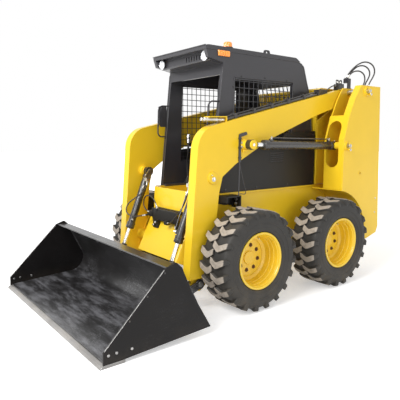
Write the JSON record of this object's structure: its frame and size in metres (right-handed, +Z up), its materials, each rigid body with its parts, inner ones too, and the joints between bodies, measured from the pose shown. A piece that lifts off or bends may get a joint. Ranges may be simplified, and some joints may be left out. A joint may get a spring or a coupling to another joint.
{
  "type": "skid steer loader",
  "caption": "Compact wheeled loader with lift arms beside an enclosed cab, a tilting front bucket, a rear door and an engine hood that open.",
  "frame": {"origin": "on the ground, under the middle of the machine's length and width", "axes": "+Z up, the bucket faces -Y, +X is the machine's left side"},
  "size_m": [1.912, 3.136, 2.1447],
  "materials": {
    "black_paint": "satin enamel",
    "black_plastic": "moulded",
    "bucket_paint": "scuffed enamel over bare steel edges",
    "cylinder_paint": "satin enamel",
    "engine_iron": "painted casting",
    "hose_rubber": "hydraulic hose",
    "lamp_glass": "clear lens",
    "orange_lens": "orange lens",
    "red_lens": "red lens",
    "rim_paint": "gloss enamel",
    "rod_chrome": "polished",
    "seat_vinyl": "black vinyl",
    "tyre_rubber": "dusty rubber",
    "yellow_paint": "gloss enamel",
    "zinc_steel": "zinc plated"
  },
  "bodies": {
    "chassis": {"axle_tubes": "cylinder_paint", "cab_frame": "black_paint", "cab_roof": "black_paint", "chassis_frame": "yellow_paint", "controls": "black_plastic", "engine_block": "engine_iron", "engine_cover": "yellow_paint", "grab_handles": "black_paint", "headlamps": "lamp_glass", "hose_loop_a": "hose_rubber", "hose_loop_b": "hose_rubber", "hose_loop_c": "hose_rubber", "hose_manifold": "black_paint", "lifting_eyes": "black_paint", "orange_lamps": "orange_lens", "prop_bracket": "black_paint", "rear_screen": "black_paint", "seat": "seat_vinyl", "side_panels": "black_paint", "side_screens": "black_paint", "tail_lamps": "red_lens", "tower_inner_left": "yellow_paint", "tower_inner_right": "yellow_paint", "tower_left": "yellow_paint", "tower_pins": "zinc_steel", "tower_right": "yellow_paint"},
    "lift_arms": {"arm_cross_member": "yellow_paint", "arm_left": "yellow_paint", "arm_pins": "zinc_steel", "arm_pipes": "cylinder_paint", "arm_prop": "black_paint", "arm_right": "yellow_paint", "aux_couplers": "zinc_steel", "front_step": "black_paint", "tilt_hose_a": "hose_rubber", "tilt_hose_b": "hose_rubber", "tilt_hose_c": "hose_rubber"},
    "bucket": {"bucket_shell": "bucket_paint", "bucket_sides": "bucket_paint", "cutting_edge": "bucket_paint", "quick_attach": "bucket_paint"},
    "wheel_front_left": {"tyre_front_left": "tyre_rubber", "rim_front_left": "rim_paint"},
    "wheel_front_right": {"tyre_front_right": "tyre_rubber", "rim_front_right": "rim_paint"},
    "wheel_rear_left": {"tyre_rear_left": "tyre_rubber", "rim_rear_left": "rim_paint"},
    "wheel_rear_right": {"tyre_rear_right": "tyre_rubber", "rim_rear_right": "rim_paint"},
    "lift_barrel_left": {"lift_barrel_left": "cylinder_paint"},
    "lift_rod_left": {"lift_rod_left": "rod_chrome"},
    "tilt_barrel_left": {"tilt_barrel_left": "cylinder_paint"},
    "tilt_rod_left": {"tilt_rod_left": "rod_chrome"},
    "lift_barrel_right": {"lift_barrel_right": "cylinder_paint"},
    "lift_rod_right": {"lift_rod_right": "rod_chrome"},
    "tilt_barrel_right": {"tilt_barrel_right": "cylinder_paint"},
    "tilt_rod_right": {"tilt_rod_right": "rod_chrome"},
    "hood": {"hood": "yellow_paint"},
    "rear_door": {"rear_door": "yellow_paint"}
  },
  "joints": [
    {"name": "spin_front_left", "type": "hinge", "parent": "chassis", "child": "wheel_front_left", "pos_m": [0.7295, -0.15, 0.40416], "axis": [-1, 0, 0], "continuous": true},
    {"name": "spin_front_right", "type": "hinge", "parent": "chassis", "child": "wheel_front_right", "pos_m": [-0.7295, -0.15, 0.40416], "axis": [-1, 0, 0], "continuous": true},
    {"name": "spin_rear_left", "type": "hinge", "parent": "chassis", "child": "wheel_rear_left", "pos_m": [0.7295, 0.874, 0.40416], "axis": [-1, 0, 0], "continuous": true},
    {"name": "spin_rear_right", "type": "hinge", "parent": "chassis", "child": "wheel_rear_right", "pos_m": [-0.7295, 0.874, 0.40416], "axis": [-1, 0, 0], "continuous": true},
    {"name": "lift", "type": "hinge", "parent": "chassis", "child": "lift_arms", "pos_m": [0, 1.27, 1.788], "axis": [-1, 0, 0], "range_deg": [0, 66]},
    {"name": "bucket_tilt", "type": "hinge", "parent": "lift_arms", "child": "bucket", "pos_m": [0, -0.52, 0.215], "axis": [1, 0, 0], "range_deg": [-25, 98]},
    {"name": "lift_swing_left", "type": "hinge", "parent": "chassis", "child": "lift_barrel_left", "pos_m": [0.645, 0.996, 1.282], "axis": [-1, 0, 0], "range_deg": [0, 63.96]},
    {"name": "lift_extend_left", "type": "slide", "parent": "lift_barrel_left", "child": "lift_rod_left", "axis": [0, -0.9999, 0.0169], "range_m": [0, 0.6251]},
    {"name": "tilt_swing_left", "type": "hinge", "parent": "lift_arms", "child": "tilt_barrel_left", "pos_m": [0.39, -0.4, 1.045], "axis": [1, 0, 0], "range_deg": [-2.56, 10.01]},
    {"name": "tilt_extend_left", "type": "slide", "parent": "tilt_barrel_left", "child": "tilt_rod_left", "axis": [0, -0.3773, -0.9261], "range_m": [-0.0698, 0.2734]},
    {"name": "lift_swing_right", "type": "hinge", "parent": "chassis", "child": "lift_barrel_right", "pos_m": [-0.645, 0.996, 1.282], "axis": [-1, 0, 0], "range_deg": [0, 63.96]},
    {"name": "lift_extend_right", "type": "slide", "parent": "lift_barrel_right", "child": "lift_rod_right", "axis": [0, -0.9999, 0.0169], "range_m": [0, 0.6251]},
    {"name": "tilt_swing_right", "type": "hinge", "parent": "lift_arms", "child": "tilt_barrel_right", "pos_m": [-0.39, -0.4, 1.045], "axis": [1, 0, 0], "range_deg": [-2.56, 10.01]},
    {"name": "tilt_extend_right", "type": "slide", "parent": "tilt_barrel_right", "child": "tilt_rod_right", "axis": [0, -0.3773, -0.9261], "range_m": [-0.0698, 0.2734]},
    {"name": "hood_lift", "type": "hinge", "parent": "chassis", "child": "hood", "pos_m": [0, 1.03, 1.816], "axis": [1, 0, 0], "range_deg": [0, 50]},
    {"name": "door_swing", "type": "hinge", "parent": "chassis", "child": "rear_door", "pos_m": [0.431, 1.54, 0.884], "axis": [0, 0, -1], "range_deg": [0, 90]}
  ],
  "couplings": [
    {"joint": "lift_swing_left", "follows": "lift", "ratio": 0.969},
    {"joint": "lift_extend_left", "follows": "lift", "m_per_rad": 0.5425},
    {"joint": "tilt_swing_left", "follows": "bucket_tilt", "ratio": 0.1021},
    {"joint": "tilt_extend_left", "follows": "bucket_tilt", "m_per_rad": 0.1598},
    {"joint": "lift_swing_right", "follows": "lift", "ratio": 0.969},
    {"joint": "lift_extend_right", "follows": "lift", "m_per_rad": 0.5425},
    {"joint": "tilt_swing_right", "follows": "bucket_tilt", "ratio": 0.1021},
    {"joint": "tilt_extend_right", "follows": "bucket_tilt", "m_per_rad": 0.1598}
  ]
}
